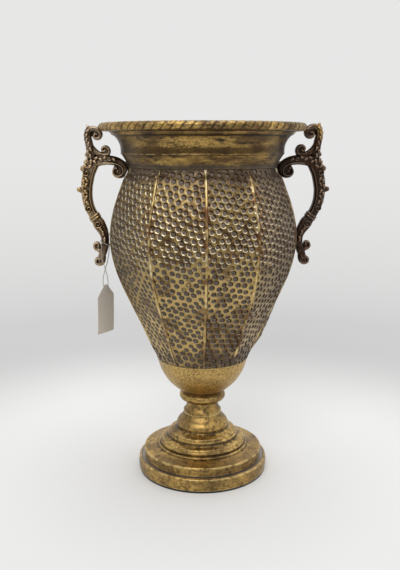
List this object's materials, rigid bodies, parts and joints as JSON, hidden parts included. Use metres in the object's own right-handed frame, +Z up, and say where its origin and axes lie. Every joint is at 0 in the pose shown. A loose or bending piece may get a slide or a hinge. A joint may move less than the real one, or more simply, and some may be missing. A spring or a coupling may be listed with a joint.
{
  "type": "urn vase",
  "caption": "Pedestal urn vase with hammered gored body, rope-twist rim, turned stepped foot, scroll handles and a plain hang tag on a string, in antique brass finish.",
  "frame": {"origin": "middle of the underside of the felt pad", "axes": "+Z up along the vase's axis, +X towards the handle without the tag, -Y towards the viewer"},
  "size_m": [0.3526, 0.285, 0.5],
  "materials": {
    "hammered_brass": "hammered, aged",
    "plain_brass": "spun, aged",
    "handle_brass": "cast, dark patina",
    "plated_steel": "zinc plated",
    "seal_rubber": "matt",
    "black_felt": "felt",
    "tag_thread": "cotton thread",
    "tag_card": "uncoated card"
  },
  "bodies": {
    "root": {"body_panel_01": "hammered_brass", "body_panel_02": "hammered_brass", "body_panel_03": "hammered_brass", "body_panel_04": "hammered_brass", "body_panel_05": "hammered_brass", "body_panel_06": "hammered_brass", "body_panel_07": "hammered_brass", "body_panel_08": "hammered_brass", "body_panel_09": "hammered_brass", "body_panel_10": "hammered_brass", "neck": "plain_brass", "rope_rim": "plain_brass", "bottom_cup": "plain_brass", "collar_ring": "plain_brass", "stem": "plain_brass", "foot": "plain_brass", "plinth": "plain_brass", "handle_left": "handle_brass", "handle_right": "handle_brass", "clamp_plate": "plated_steel", "tie_rod": "plated_steel", "top_nut": "plated_steel", "top_washer": "plated_steel", "bottom_nut": "plated_steel", "bottom_washer": "plated_steel", "handle_screws": "plated_steel", "seal_washer": "seal_rubber", "felt_pad": "black_felt", "string_hitch": "tag_thread"},
    "string": {"tag_string": "tag_thread"},
    "tag": {"hang_tag": "tag_card"}
  },
  "joints": [
    {"name": "string_swing", "type": "hinge", "parent": "root", "child": "string", "pos_m": [-0.138, 0, 0.337], "axis": [0, 1, 0], "range_deg": [-8, 50]},
    {"name": "tag_turn", "type": "hinge", "parent": "string", "child": "tag", "pos_m": [-0.13795, 0, 0.26647], "axis": [0.8178, -0.5754, 0], "range_deg": [-30, 30]}
  ]
}
